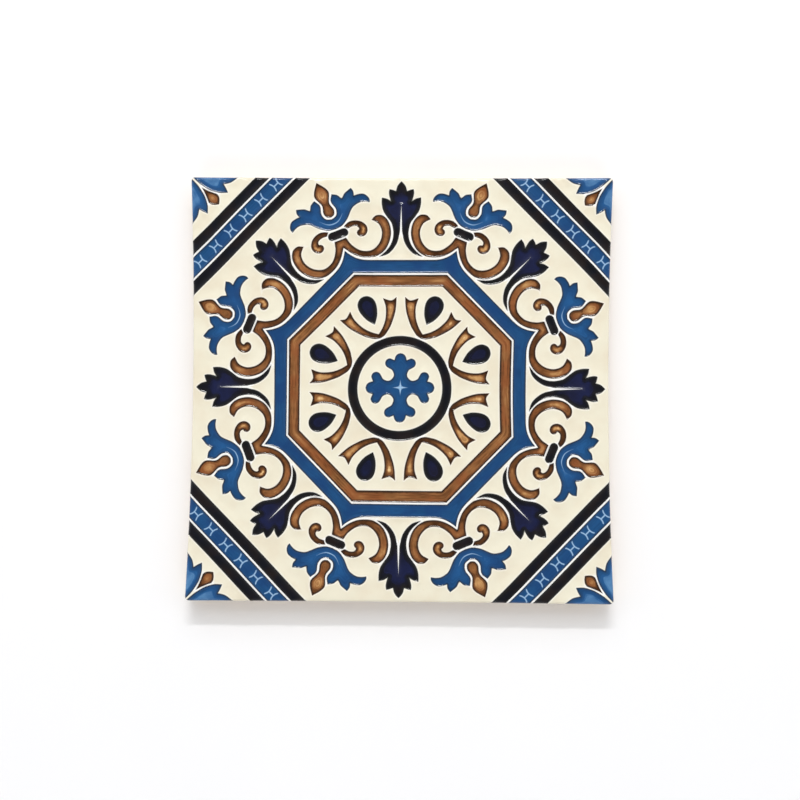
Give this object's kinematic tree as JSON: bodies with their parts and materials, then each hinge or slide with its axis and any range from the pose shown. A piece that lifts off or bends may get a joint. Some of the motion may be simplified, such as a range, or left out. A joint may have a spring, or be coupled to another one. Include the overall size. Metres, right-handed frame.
{
  "type": "azulejo tile",
  "caption": "Square glazed clay wall tile with a cuenca pattern: coloured glaze pools between thin raised ridges; flat back for bedding on a wall.",
  "frame": {"origin": "middle of the flat back, where the tile lies on the floor or beds on a wall", "axes": "+Z out of the patterned face, +Y towards the top of the pattern, +X to the right; the back lies on z = 0"},
  "size_m": [0.1398, 0.14, 0.01],
  "materials": {
    "cream_glaze": "glossy cream glaze over clay, with thin white ridges",
    "blue_glaze": "glossy cobalt blue glaze",
    "navy_glaze": "glossy blue-black glaze",
    "amber_glaze": "glossy amber brown glaze"
  },
  "bodies": {
    "root": {"tile": "cream_glaze"}
  },
  "joints": []
}
